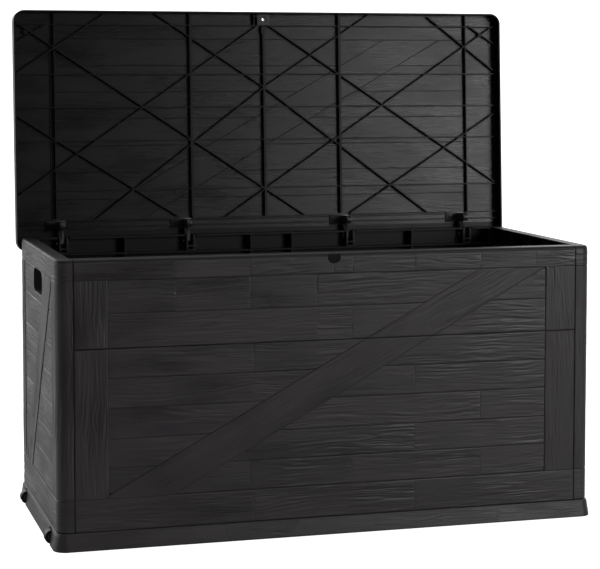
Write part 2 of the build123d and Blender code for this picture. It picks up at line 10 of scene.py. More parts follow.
import bmesh
import bpy
import numpy as np
from bpy.props import FloatProperty, FloatVectorProperty, PointerProperty
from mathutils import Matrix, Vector

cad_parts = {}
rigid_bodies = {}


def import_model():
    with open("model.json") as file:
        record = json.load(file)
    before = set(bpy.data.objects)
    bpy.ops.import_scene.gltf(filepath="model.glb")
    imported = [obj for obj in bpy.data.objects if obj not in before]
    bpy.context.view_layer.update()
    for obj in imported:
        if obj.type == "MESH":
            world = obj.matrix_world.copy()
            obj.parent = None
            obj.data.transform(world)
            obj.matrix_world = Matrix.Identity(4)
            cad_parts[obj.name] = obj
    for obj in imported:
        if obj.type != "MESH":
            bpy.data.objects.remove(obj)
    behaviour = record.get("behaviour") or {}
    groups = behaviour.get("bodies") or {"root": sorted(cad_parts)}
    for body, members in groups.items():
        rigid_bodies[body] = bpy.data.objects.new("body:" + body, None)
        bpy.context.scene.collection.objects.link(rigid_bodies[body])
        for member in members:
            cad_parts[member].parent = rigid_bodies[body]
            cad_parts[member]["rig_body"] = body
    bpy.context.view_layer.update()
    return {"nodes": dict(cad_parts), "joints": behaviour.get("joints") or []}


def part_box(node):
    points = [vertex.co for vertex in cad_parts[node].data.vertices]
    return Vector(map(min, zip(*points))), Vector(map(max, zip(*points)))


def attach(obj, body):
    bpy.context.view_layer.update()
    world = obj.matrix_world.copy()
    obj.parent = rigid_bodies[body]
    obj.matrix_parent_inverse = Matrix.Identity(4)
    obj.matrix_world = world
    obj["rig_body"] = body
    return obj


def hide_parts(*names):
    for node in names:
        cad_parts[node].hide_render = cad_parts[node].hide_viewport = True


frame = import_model()

bl_info = {
    "name": "Deck Storage Box",
    "version": (1, 0, 0),
    "blender": (4, 5, 0),
    "location": "3D View > Sidebar > Deck Box",
    "description": "Builds the embossed boards, hinges, rollers and studio of a deck storage box",
    "category": "Object",
}

# The board layout is in millimetres and is scaled once, where a mesh is made.
MM = 0.001

# Faces of the frame that the boards lie on
SIDE_LOW, SIDE_HIGH = (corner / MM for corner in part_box("left_side_panel"))
BODY_HALF_X = -SIDE_LOW.x
BODY_HALF_Y = SIDE_HIGH.y
RIM_Z = SIDE_HIGH.z
SKIRT_HALF_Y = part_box("base_tray")[1].y / MM
SKIRT_HALF_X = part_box("base_tray")[1].x / MM
HINGE = next(joint for joint in frame["joints"] if joint["name"] == "lid_hinge")
HINGE_Y, HINGE_Z = HINGE["pos_m"][1] / MM, HINGE["pos_m"][2] / MM
OPEN_ANGLE = math.radians(HINGE["range_deg"][1])

# Board lines of the walls, as heights above the ground and distances from a wall's middle
RAIL_LOW, RAIL_TOP = 105, 554
SEAM = 414
SEAM_LOW, SEAM_HIGH = SEAM - 1.4, SEAM + 1.4
BASE_LINE = 39.2  # top of the shadow line over the base tray
LOWER_PLANKS = (105, 166, 227, 290, 352, 414)
UPPER_PLANKS = (414, 485, 554)
RAIL_END = RIM_Z - 7
BODY_CORNER = 22
LONG_HALF = 550.0
LONG_STILE = 481
LONG_BRACE = ((-481, 111), (329, 554), (-343, 105), (481, 554))
SIDE_STILE = 203
SIDE_BRACE = ((-203, 105), (107, 554), (-107, 105), (203, 554))
SIDE_RETURN = 11.9  # how far a side panel runs on past its corner
PLANK_LEVEL = -1.5
LONG_JOINTS = {105: (-181, 40, 331), 166: (181,), 227: (-40, 331), 290: (-176, 181), 352: (-174, 178),
               414: (-36, 42, 331), 485: (-340, -181, -36, 181)}
BASE_JOINTS = (-174, 181)
RAIL_JOINTS = (-340, -181, 42, 181, 331, 458)
HAND_HALF_W, HAND_LOW, HAND_HIGH, HAND_R = 62.5, 501.5, 551.5, 18
NOTCH_R, NOTCH_MID, NOTCH_LOW = 14, 589, 575
HINGE_NOTCH, HINGE_NOTCH_LOW = 14.3, 572
HINGE_PLACES = [(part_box(f"hinge_bracket_{n}")[0].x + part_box(f"hinge_bracket_{n}")[1].x) / 2 / MM
                for n in range(1, 5)]

# Base tray's sloping skirt
SKIRT_CORNER = 27
SKIRT_SLOPE = math.radians(9.5)
SKIRT_LOW, SKIRT_HIGH = 1.5, 34.0
SKIRT_JOINTS = (-234, -79, 89, 370)
ROLLER_GAP = 17.0

# Lid, by distance from its rear edge
LID_CORNER, LID_EDGE = 25, 4
LID_DECK = 3.5
LID_STILE = 510
LID_RAILS = (64, 490)
LID_PLANKS = (64, 117, 179, 241, 304, 366, 428, 490)
LID_BRACE = ((-440, 64), (303, 490), (-303, 64), (447, 490))
LID_LEVEL = -1.0
LID_JOINTS = {64: (-120,), 117: (250,), 179: (-300, 340), 241: (-60,), 304: (200,),
              366: (-220, 120), 428: (60,)}
SHACKLE_S, SHACKLE_R = 537, 5
BOSS_S, BOSS_HALF, BOSS_RISE = 521.5, 17, 11
BOSS_MARGIN = 2  # plain strip beside the plate over the padlock boss
HINGE_BAND = 43.0  # smooth strip along the lid's rear edge, left bare so the darker lid shell shows there as a painted shade band
LIP_INNER = 3.3

# Board lengths and margins
SHORTEST_BOARD = 6.0
JOINT_CLEAR = 25  # a joint nearer to a board's end than this is left out
BRACE_CLEAR = 2.185  # space beside a sloping brace, in gaps between boards
HAND_CLEAR = 2.2  # the same beside the hand hole's row


# ---- settings that a user would change ----
def length_setting(name, description, default, smallest=0.0):
    return FloatProperty(name=name, description=description, default=default, min=smallest, unit="LENGTH")


def colour_setting(name, description, default):
    return FloatVectorProperty(name=name, description=description, default=default, size=3,
                               subtype="COLOR", min=0.0, max=1.0)


def power_setting(name, description, default):
    return FloatProperty(name=name, description=description, default=default, min=0.0)


class ReliefSettings(bpy.types.PropertyGroup):
    """How deep and how fine the embossed wood is"""

    grain_depth: length_setting("Grain depth", "Height of the embossed wood grain", 0.00068)
    edge_width: length_setting("Edge width", "Width of the sloping margin round each board", 0.0022)
    edge_drop: length_setting("Edge drop", "How far a board's margin falls away at its edge", 0.0008)
    joint: length_setting("Joint", "Half the gap between two boards", 0.00025)
    row_step: length_setting("Row step", "Mesh spacing across the grain", 0.0014, 0.0005)
    column_step: length_setting("Column step", "Mesh spacing along the grain", 0.006, 0.001)


class FinishSettings(bpy.types.PropertyGroup):
    """Colours of the resin and the metal"""

    wall_colour: colour_setting("Walls", "Anthracite resin of the panels and base", (0.034, 0.0295, 0.0330))
    lid_colour: colour_setting("Lid", "Anthracite resin of the lid", (0.0085, 0.0079, 0.0090))
    roller_colour: colour_setting("Rollers", "Black plastic of the rollers", (0.008, 0.008, 0.009))
    steel_colour: colour_setting("Steel", "Zinc-plated pins and axles", (0.42, 0.42, 0.43))
    screw_colour: colour_setting("Screws", "Black zinc of the screws", (0.035, 0.035, 0.038))


class StageSettings(bpy.types.PropertyGroup):
    """Studio light and floor"""

    floor_colour: colour_setting("Floor", "Pale studio floor", (0.60, 0.60, 0.60))
    right_power: power_setting("Right softbox", "Soft light from the front right, in watts", 80.0)
    top_power: power_setting("Top softbox", "Soft light from above, in watts", 14.0)
    left_power: power_setting("Left softbox", "Soft light on the left end, in watts", 6.0)


# ---- noise and wood relief ----
def value_noise(x, y, seed):
    """Smooth noise between -1 and 1, one random value at each whole number of x and y."""
    column, row = np.floor(x).astype(np.int64), np.floor(y).astype(np.int64)
    across, up = x - column, y - row
    across = across * across * (3 - 2 * across)
    up = up * up * (3 - 2 * up)

    def corner(i, j):
        mixed = (i * 374761393 + j * 668265263 + seed * 1442695) & 0xFFFFFFFF
        mixed = ((mixed ^ (mixed >> 13)) * 1274126177) & 0xFFFFFFFF
        return ((mixed ^ (mixed >> 16)) & 0xFFFF) / 32767.5 - 1

    low = corner(column, row) * (1 - across) + corner(column + 1, row) * across
    high = corner(column, row + 1) * (1 - across) + corner(column + 1, row + 1) * across
    return low * (1 - up) + high * up


def wood_relief(along, across, seed, knots):
    """Grain height, about -1 to 1: streaks that wander, part round knots and ring inside them."""
    flow = across + 9 * value_noise(along / 190, across / 60, seed)
    flow += 2.6 * value_noise(along / 62, across / 21, seed + 1)
    flow += 0.8 * value_noise(along / 21, across / 9, seed + 6)
    rings = np.zeros_like(along)
    for knot_along, knot_across, radius in knots:
        aside = across - knot_across
        reach = np.hypot((along - knot_along) / 2.1, aside)
        spread = np.exp(-((reach / (2.4 * radius)) ** 2))
        flow += np.sign(aside) * spread * radius * 0.9
        inside = np.exp(-((reach / (1.2 * radius)) ** 4))
        rings += inside * np.cos(reach * 1.9)
    streaks = 1 - 2.6 * np.abs(value_noise(along / 70, flow / 3.1, seed + 2))
    bands = value_noise(along / 120, flow / 7.5, seed + 3)
    fine = value_noise(along / 24, flow / 1.7, seed + 4)
    rough = np.clip(0.62 + 0.75 * value_noise(along / 85, across / 38, seed + 5), 0.12, 1.3)
    swell = value_noise(along / 110, across / 45, seed + 7)
    return rough * (0.50 * streaks + 0.42 * bands + 0.24 * fine) + 0.28 * swell + 0.9 * rings


def board_knots(seed, length, width):
    """A few knots on a board, the same each time for the same seed."""
    chance = np.random.default_rng(seed)
    count = int(chance.integers(0, 2 + int(length > 250) + int(length > 550)))
    places = []
    for _ in range(count):
        radius = float(chance.uniform(3.5, 8.0))
        along = float(chance.uniform(0.1, 0.9)) * length
        places.append((along, float(chance.uniform(0.3, 0.7)) * width, radius))
    return places


# ---- faces that boards lie on ----
class Wall:
    """Upright outer face: u along its path in plan, v up it and h out of it, in millimetres."""

    def __init__(self, facing, face, half_run, corner=BODY_CORNER, slope=0.0):
        self.out = np.array(facing, float)
        self.right = np.array((-facing[1], facing[0]), float)
        self.face, self.half_run, self.corner, self.slope = face, half_run, corner, slope
        self.arc = corner * math.pi / 2

    def bends(self):
        """Places along the path where a board has to turn."""
        turn = self.half_run + np.linspace(0, self.arc, 7)
        return [*(-turn[::-1]), *turn]

    def place(self, u, v, h):
        side = np.sign(u)
        past = np.abs(u) - self.half_run
        angle = np.clip(past / self.corner, 0, math.pi / 2)
        beyond = np.maximum(past - self.arc, 0)
        push = h * math.cos(self.slope) - v * math.sin(self.slope)
        along = side * (np.minimum(np.abs(u), self.half_run) + (self.corner + push) * np.sin(angle))
        out = self.face - self.corner - beyond + (self.corner + push) * np.cos(angle)
        plan = along[..., None] * self.right + out[..., None] * self.out
        up = v * math.cos(self.slope) + h * math.sin(self.slope)
        return np.concatenate([plan, up[..., None]], axis=-1)


class LidFace:
    """A face of the open lid: u along X, v from its rear edge and h out of it."""

    def __init__(self, under):
        turned = lid_axes(np.array([v.co for v in frame["nodes"]["lid_shell"].data.vertices]) / MM)
        self.rear, self.top = turned[:, 1].max(), turned[:, 2].max()
        self.depth = self.rear - turned[:, 1].min()
        self.half = turned[:, 0].max()
        self.under = under

    def bends(self):
        return []

    def reach(self, v, inset):
        """Half width of the lid at a distance from its rear edge, inside its rounded corners."""
        radius = LID_CORNER - inset
        near = np.minimum(v - inset, self.depth - inset - v)
        dip = np.clip(radius - near, 0, radius)
        return self.half - inset - radius + np.sqrt(radius**2 - dip**2)

    def place(self, u, v, h):
        height = self.top - LID_DECK - h if self.under else self.top + h
        return lid_axes(np.stack([u, self.rear - v, height + 0 * u], axis=-1), back=True)


def lid_axes(points, back=False):
    """Turn points between the row's axes and the closed lid's axes at the hinge line."""
    hinge = np.array((0, HINGE_Y, HINGE_Z))
    cosine, sine = math.cos(OPEN_ANGLE), math.sin(OPEN_ANGLE)
    turn = np.array(((1, 0, 0), (0, cosine, sine), (0, -sine, cosine)))
    return points @ turn.T + hinge if back else (points - hinge) @ turn


def steps(length, step, edge):
    """Distances from 0 to a length, closer together near both ends."""
    near = [part * edge for part in (0, 0.3, 0.6, 1.0)]
    near = [part for part in near if part < length / 2.2]
    middle = max(2, round((length - 2 * near[-1]) / step) + 1)
    inner = np.linspace(near[-1], length - near[-1], middle)
    return np.array([*near[:-1], *inner, *(length - part for part in near[-2::-1])])


class Relief:
    """Collects embossed boards into one closed mesh."""

    lift, sink = 0.8, 0.42  # a board's plain top above the frame's face, and its base below it

    def __init__(self, settings, seed):
        self.round, self.drop = settings.edge_width / MM, settings.edge_drop / MM
        self.gap = settings.joint / MM
        self.depth = settings.grain_depth / MM
        self.row_step, self.column_step = settings.row_step / MM, settings.column_step / MM
        self.seed = seed
        self.points, self.grain, self.faces = [], [], []
        self.count = 0

    def board(self, face, starts, ends, across, level=0.0, knots=True, edges=True, height=None,
              drops=(1.0, 1.0, 0.15)):
        """Add a board whose rows run from each start to each end, given as (u, v) arrays.

        The three drops scale how far its first side, its last side and its ends fall away.
        """
        self.seed += 7
        runs = ends - starts
        lengths = np.hypot(runs[:, 0], runs[:, 1])
        direction = runs[len(runs) // 2] / lengths[len(runs) // 2]
        start_along, end_along = starts @ direction, ends @ direction
        slant = [1 / np.hypot(1, np.gradient(end, across)) for end in (start_along, end_along)]
        edge = self.round / max(0.3, min(np.median(slant[0]), np.median(slant[1])))
        share = steps(lengths.mean(), self.column_step, edge if edges else 1.0)
        share = share / lengths.mean()
        bends = [place for place in face.bends() if starts[0, 0] < place < ends[0, 0]]
        if bends:
            fixed = (np.array(bends) - starts[0, 0]) / (ends[0, 0] - starts[0, 0])
            share = np.unique(np.round(np.concatenate([share, fixed]), 6))
        place_uv = starts[:, None, :] + runs[:, None, :] * share[None, :, None]
        along = place_uv @ direction
        wide = np.broadcast_to(across[:, None], along.shape)
        top = np.full(along.shape, level + self.lift)
        damp = 1.0
        if edges:
            to_start = share[None, :] * lengths[:, None] * slant[0][:, None]
            to_end = (1 - share[None, :]) * lengths[:, None] * slant[1][:, None]
            reaches = ((across - across[0])[:, None], (across[-1] - across)[:, None],
                       np.minimum(to_start, to_end))
            falls = [drop * np.clip(1 - reach / self.round, 0, 1) ** 2 for reach, drop in zip(reaches, drops)]
            top = top - self.drop * np.maximum(np.maximum(falls[0], falls[1]), falls[2])
            inside = np.minimum(np.minimum(reaches[0], reaches[1]), reaches[2])
            damp = np.clip(0.15 + 1.4 * inside / self.round, 0, 1)
        origin = along.min()
        span = along.max() - origin, across[-1] - across[0]
        found = board_knots(self.seed, *span) if knots else []
        found = [(a + origin, c + across[0], r) for a, c, r in found]
        grain = height(place_uv) if height else wood_relief(along, wide, self.seed, found)
        top = top + damp * self.depth * grain
        upper = face.place(place_uv[..., 0], place_uv[..., 1], top)
        keep = [0, *(int(np.argmin(np.abs(share - f))) for f in (fixed if bends else ())), len(share) - 1]
        keep = sorted(set(keep))
        low = place_uv[:, keep, :]
        lower = face.place(low[..., 0], low[..., 1], np.full(low.shape[:2], level - self.sink))
        self.join(upper, lower, keep)
        tone = np.random.default_rng(self.seed).uniform()
        for part_along, part_across in ((along, wide), (along[:, keep], wide[:, keep])):
            marks = np.stack([part_along, part_across + 40 * self.seed, 0 * part_along + tone / MM], axis=-1)
            self.grain.append(marks.reshape(-1, 3))

    def join(self, upper, lower, keep):
        """Close a board: quads on top, strips below, and a face along each edge."""
        rows, columns = upper.shape[:2]
        first = self.count
        base = first + rows * columns
        stops = len(keep)
        for row in range(rows - 1):
            line = first + row * columns
            for column in range(columns - 1):
                corner = line + column
                self.faces.append((corner, corner + 1, corner + columns + 1, corner + columns))
            for stop in range(stops - 1):
                corner = base + row * stops + stop
                self.faces.append((corner, corner + stops, corner + stops + 1, corner + 1))
            for column, stop, flip in ((0, 0, True), (columns - 1, stops - 1, False)):
                wall = [line + column, line + columns + column,
                        base + (row + 1) * stops + stop, base + row * stops + stop]
                self.faces.append(tuple(wall[::-1] if not flip else wall))
        for row, flip in ((0, False), (rows - 1, True)):
            for stop in range(stops - 1):
                edge = [first + row * columns + column for column in range(keep[stop], keep[stop + 1] + 1)]
                wall = [*edge[::-1], base + row * stops + stop, base + row * stops + stop + 1]
                self.faces.append(tuple(wall[::-1] if flip else wall))
        self.points += [upper.reshape(-1, 3), lower.reshape(-1, 3)]
        self.count = base + rows * stops

    def level_board(self, face, left, right, low, high, level=0.0, **more):
        """Board with its grain along u. Its ends are numbers, or functions of v."""
        v = low + steps(high - low, self.row_step, self.round)
        sides = [np.array([end(x) if callable(end) else end for x in v], float) for end in (left, right)]
        starts, ends = np.stack([sides[0], v], axis=1), np.stack([sides[1], v], axis=1)
        self.board(face, starts, ends, v, level, **more)

    def upright_board(self, face, left, right, low, high, level=0.0, **more):
        """Board with its grain along v."""
        u = left + steps(right - left, self.row_step, self.round)
        if face.bends():
            turns = [place for place in face.bends() if left < place < right]
            u = np.unique(np.round(np.concatenate([u, turns]), 4))
        starts, ends = np.stack([u, 0 * u + low], axis=1), np.stack([u, 0 * u + high], axis=1)
        self.board(face, ends, starts, u, level, **more)

    def jointed(self, face, left, right, low, high, joints, level=0.0, **more):
        """A level board cut into lengths where a joint falls clear of both its ends."""
        ends_at = [end if callable(end) else (lambda v, end=end: end) for end in (left, right)]
        first = max(ends_at[0](low), ends_at[0](high))
        last = min(ends_at[1](low), ends_at[1](high))
        cuts = [cut for cut in sorted(joints) if first + JOINT_CLEAR < cut < last - JOINT_CLEAR]
        edges = [left, *cuts, right]
        for index in range(len(edges) - 1):
            near = edges[index] + self.gap / 2 if index else edges[index]
            far = edges[index + 1] - self.gap / 2 if index < len(cuts) else edges[index + 1]
            self.level_board(face, near, far, low, high, level, **more)

    def make(self, name, body, material):
        """Turn the boards into one object that rides on a body."""
        mesh = bpy.data.meshes.new(name)
        mesh.from_pydata((np.concatenate(self.points) * MM).tolist(), [], self.faces)
        mesh.attributes.new("grain", "FLOAT_VECTOR", "POINT")
        mesh.attributes["grain"].data.foreach_set("vector", (np.concatenate(self.grain) * MM).ravel())
        return finish_piece(mesh, name, body, material)


def finish_piece(mesh, name, body, material, sharp=math.radians(48)):
    """Point a mesh's faces outwards, shade it and hang it on its body."""
    shell = bmesh.new()
    shell.from_mesh(mesh)
    bmesh.ops.recalc_face_normals(shell, faces=shell.faces)
    shell.to_mesh(mesh)
    shell.free()
    mesh.shade_smooth()
    mesh.set_sharp_from_angle(angle=sharp)
    piece = bpy.data.objects.new(name, mesh)
    bpy.context.scene.collection.objects.link(piece)
    mesh.materials.append(material)
    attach(piece, body)
    return piece


def line_at(points):
    """x of a straight line through two (x, y) points, as a function of y."""
    (x0, y0), (x1, y1) = points
    return lambda y: x0 + (y - y0) * (x1 - x0) / (y1 - y0)


def shackle_edge(v):
    """Half width of the padlock shackle's hole at a distance from the lid's rear edge."""
    return math.sqrt(max(0.0, SHACKLE_R**2 - (v - SHACKLE_S) ** 2))


def stiles(relief, face, near, far, low, high):
    """A pair of upright boards, from a near to a far distance on each side of the middle."""
    relief.upright_board(face, -far, -near, low, high)
    relief.upright_board(face, near, far, low, high)


def braced_row(relief, face, stile, brace, low, high, joints, level, **more):
    """One row of planks, cut by the sloping brace into a left and a right part."""
    gap, shortest = relief.gap, SHORTEST_BOARD
    upper_edge, lower_edge = line_at(brace[:2]), line_at(brace[2:])
    left_end = lambda v: upper_edge(v) - BRACE_CLEAR * gap
    right_start = lambda v: lower_edge(v) + BRACE_CLEAR * gap
    bottom, top = low + gap, high - gap
    rise = (brace[1][1] - brace[0][1]) / (brace[1][0] - brace[0][0])
    if left_end(top) > -stile + shortest + gap:
        start = max(bottom, bottom + (-stile + gap + shortest - left_end(bottom)) * rise)
        relief.jointed(face, -stile + gap, left_end, start, top, joints, level, **more)
    rise = (brace[3][1] - brace[2][1]) / (brace[3][0] - brace[2][0])
    if right_start(bottom) < stile - shortest - gap:
        stop = min(top, top - (right_start(top) - stile + gap + shortest) * rise)
        relief.jointed(face, right_start, stile - gap, bottom, stop, joints, level, **more)


def brace_board(relief, face, brace, stile, low, high, level=0.0):
    """Sloping brace between two heights, with its grain along its length."""
    gap = relief.gap
    direction = np.array(brace[1], float) - np.array(brace[0], float)
    direction /= np.hypot(*direction)
    normal = np.array((direction[1], -direction[0]))
    origin = np.array(brace[0], float)
    width = (np.array(brace[2], float) - origin) @ normal
    across = gap + steps(width - 2 * gap, relief.row_step, relief.round)
    starts, ends = [], []
    for offset in across:
        point = origin + offset * normal
        ends_t = [(height - point[1]) / direction[1] for height in (low, high)]
        ends_t[0] = max(ends_t[0], (-stile + gap - point[0]) / direction[0])
        ends_t[1] = min(ends_t[1], (stile - gap - point[0]) / direction[0])
        starts.append(point + ends_t[0] * direction)
        ends.append(point + ends_t[1] * direction)
    relief.board(face, np.array(starts), np.array(ends), across, level, drops=(0.3, 0.5, 0.1))


def bead(relief, face, start, end, half=0.9, rise=1.3):
    """Thin straight ridge between two (u, v) points of a face."""
    start, end = np.array(start, float), np.array(end, float)
    direction = (end - start) / np.hypot(*(end - start))
    across = np.array((-half, -half / 2, half / 2, half))
    offsets = across[:, None] * np.array((-direction[1], direction[0]))
    relief.board(face, start + offsets, end + offsets, across, edges=False,
                 height=lambda place: np.full(place.shape[:2], rise / relief.depth)
                 * np.array((0.3, 1.0, 1.0, 0.3))[:, None])


# ---- materials ----
def new_material(name):
    """Node material with only a shader and an output in it."""
    material = bpy.data.materials.new(name)
    material.use_nodes = True
    tree = material.node_tree
    tree.nodes.clear()
    shader = tree.nodes.new("ShaderNodeBsdfPrincipled")
    output = tree.nodes.new("ShaderNodeOutputMaterial")
    tree.links.new(shader.outputs["BSDF"], output.inputs["Surface"])
    return material, tree, shader


def link(tree, source, target):
    tree.links.new(source, target)


def object_place(tree):
    """Place on the object, in its own axes."""
    return tree.nodes.new("ShaderNodeTexCoord").outputs["Object"]


def noise_node(tree, vector, scale, detail=3.0, roughness=0.55, distortion=0.0):
    """Noise texture on a vector."""
    node = tree.nodes.new("ShaderNodeTexNoise")
    node.inputs["Scale"].default_value = scale
    node.inputs["Detail"].default_value = detail
    node.inputs["Roughness"].default_value = roughness
    node.inputs["Distortion"].default_value = distortion
    link(tree, vector, node.inputs["Vector"])
    return node.outputs["Fac"]


def stretched(tree, vector, factors):
    """The vector times a factor on each axis."""
    node = tree.nodes.new("ShaderNodeVectorMath")
    node.operation = "MULTIPLY"
    node.inputs[1].default_value = factors
    link(tree, vector, node.inputs[0])
    return node.outputs["Vector"]


def ranged(tree, value, low, high, out_low, out_high):
    """A value mapped from one range to another, and held at its ends."""
    node = tree.nodes.new("ShaderNodeMapRange")
    for name, number in zip(("From Min", "From Max", "To Min", "To Max"), (low, high, out_low, out_high)):
        node.inputs[name].default_value = number
    link(tree, value, node.inputs["Value"])
    return node.outputs["Result"]


def math_node(tree, operation, first, second):
    """Two values, or a value and a number, combined."""
    node = tree.nodes.new("ShaderNodeMath")
    node.operation = operation
    link(tree, first, node.inputs[0])
    if isinstance(second, (int, float)):
        node.inputs[1].default_value = second
    else:
        link(tree, second, node.inputs[1])
    return node.outputs["Value"]


def shaded(tree, colour, factor):
    """A colour times a factor that varies over the surface."""
    node = tree.nodes.new("ShaderNodeVectorMath")
    node.operation = "SCALE"
    node.inputs[0].default_value = colour
    link(tree, factor, node.inputs["Scale"])
    return node.outputs["Vector"]


def bumped(tree, shader, layers):
    """Stack bump layers of (height, distance in metres, strength) onto the shader."""
    normal = None
    for height, distance, strength in layers:
        node = tree.nodes.new("ShaderNodeBump")
        node.inputs["Distance"].default_value = distance
        node.inputs["Strength"].default_value = strength
        link(tree, height, node.inputs["Height"])
        if normal is not None:
            link(tree, normal, node.inputs["Normal"])
        normal = node.outputs["Normal"]
    link(tree, normal, shader.inputs["Normal"])


def board_resin(name, colour, roughness=0.42, spread=0.24, gloss=0.5):
    """Embossed resin: fine streaks along each board's own grain, pores, and worn-in sheen."""
    material, tree, shader = new_material(name)
    attribute = tree.nodes.new("ShaderNodeAttribute")
    attribute.attribute_name = "grain"
    grain = attribute.outputs["Vector"]
    split = tree.nodes.new("ShaderNodeSeparateXYZ")
    link(tree, grain, split.inputs["Vector"])
    streak = noise_node(tree, stretched(tree, grain, (14.0, 620.0, 3.0)), 1.0, 4.0, 0.6)
    pores = noise_node(tree, stretched(tree, grain, (120.0, 1500.0, 3.0)), 1.0, 2.0, 0.5)
    cloud = noise_node(tree, stretched(tree, grain, (5.0, 16.0, 3.0)), 1.0, 3.0, 0.5)
    speck = noise_node(tree, stretched(tree, grain, (2600.0, 2600.0, 3.0)), 1.0, 1.0, 0.5)
    tone = ranged(tree, split.outputs["Z"], 0.0, 1.0, 0.92, 1.08)
    shade = math_node(tree, "MULTIPLY", ranged(tree, streak, 0.3, 0.7, 0.76, 1.26), tone)
    shade = math_node(tree, "MULTIPLY", shade, ranged(tree, cloud, 0.3, 0.7, 0.76, 1.26))
    link(tree, shaded(tree, colour, shade), shader.inputs["Base Color"])
    sheen = math_node(tree, "ADD", ranged(tree, streak, 0.3, 0.7, spread / 2, -spread / 2),
                      ranged(tree, cloud, 0.3, 0.7, roughness - spread / 2, roughness + spread / 2))
    link(tree, sheen, shader.inputs["Roughness"])
    shader.inputs["IOR"].default_value = 1.5
    shader.inputs["Specular IOR Level"].default_value = gloss
    bumped(tree, shader, ((streak, 0.00034, 0.9), (pores, 0.00012, 0.8), (speck, 0.00003, 0.4)))
    return material


def plain_resin(name, colour, roughness=0.42, fine=0.5, gloss=0.5):
    """Smooth moulded resin: faint flow marks, a spark-eroded micro texture and uneven sheen."""
    material, tree, shader = new_material(name)
    place = object_place(tree)
    flow = noise_node(tree, stretched(tree, place, (5.0, 9.0, 9.0)), 1.0, 3.0, 0.5, 0.6)
    grit = noise_node(tree, place, 2200.0, 1.0)
    ripple = noise_node(tree, place, 42.0, 2.0)
    link(tree, shaded(tree, colour, ranged(tree, flow, 0.3, 0.7, 0.86, 1.16)), shader.inputs["Base Color"])
    link(tree, ranged(tree, flow, 0.3, 0.7, roughness - 0.06, roughness + 0.08), shader.inputs["Roughness"])
    shader.inputs["IOR"].default_value = 1.5
    shader.inputs["Specular IOR Level"].default_value = gloss
    bumped(tree, shader, ((ripple, 0.00025, 0.35), (grit, 0.00004, fine)))
    return material


def brushed_metal(name, colour, roughness):
    """Metal drawn along X with fine scratches."""
    material, tree, shader = new_material(name)
    place = object_place(tree)
    scratch = noise_node(tree, stretched(tree, place, (60.0, 2400.0, 2400.0)), 1.0, 2.0)
    link(tree, shaded(tree, colour, ranged(tree, scratch, 0.3, 0.7, 0.8, 1.1)), shader.inputs["Base Color"])
    link(tree, ranged(tree, scratch, 0.3, 0.7, roughness - 0.08, roughness + 0.1), shader.inputs["Roughness"])
    shader.inputs["Metallic"].default_value = 1.0
    bumped(tree, shader, ((scratch, 0.00003, 0.5),))
    return material


def finished(context, name, maker, setting, *values, share=1.0):
    """The material of that name, in a share of a setting's colour, made when first asked for."""
    colour = [share * part for part in getattr(context.scene.deckbox_finish, setting)]
    return bpy.data.materials.get(name) or maker(name, colour, *values)


def wall_resin(context):
    return finished(context, "anthracite_boards", board_resin, "wall_colour")


def tray_resin(context):
    return finished(context, "anthracite_smooth", plain_resin, "wall_colour")


# Lid resin at 0.45 of the lid's colour and less glossy: painted shade, so that the lid shell's ribs and lips,
# the bare strip by the hinge, the ridges under the lid and the arm plates read dark.
def shade_darkened_resin(context):
    return finished(context, "lid_smooth", plain_resin, "lid_colour", 0.45, 0.35, 0.3, share=0.45)


def paint(nodes, material):
    """Give carried-over CAD nodes a material."""
    for name in nodes:
        slots = frame["nodes"][name].data.materials
        slots.clear()
        slots.append(material)


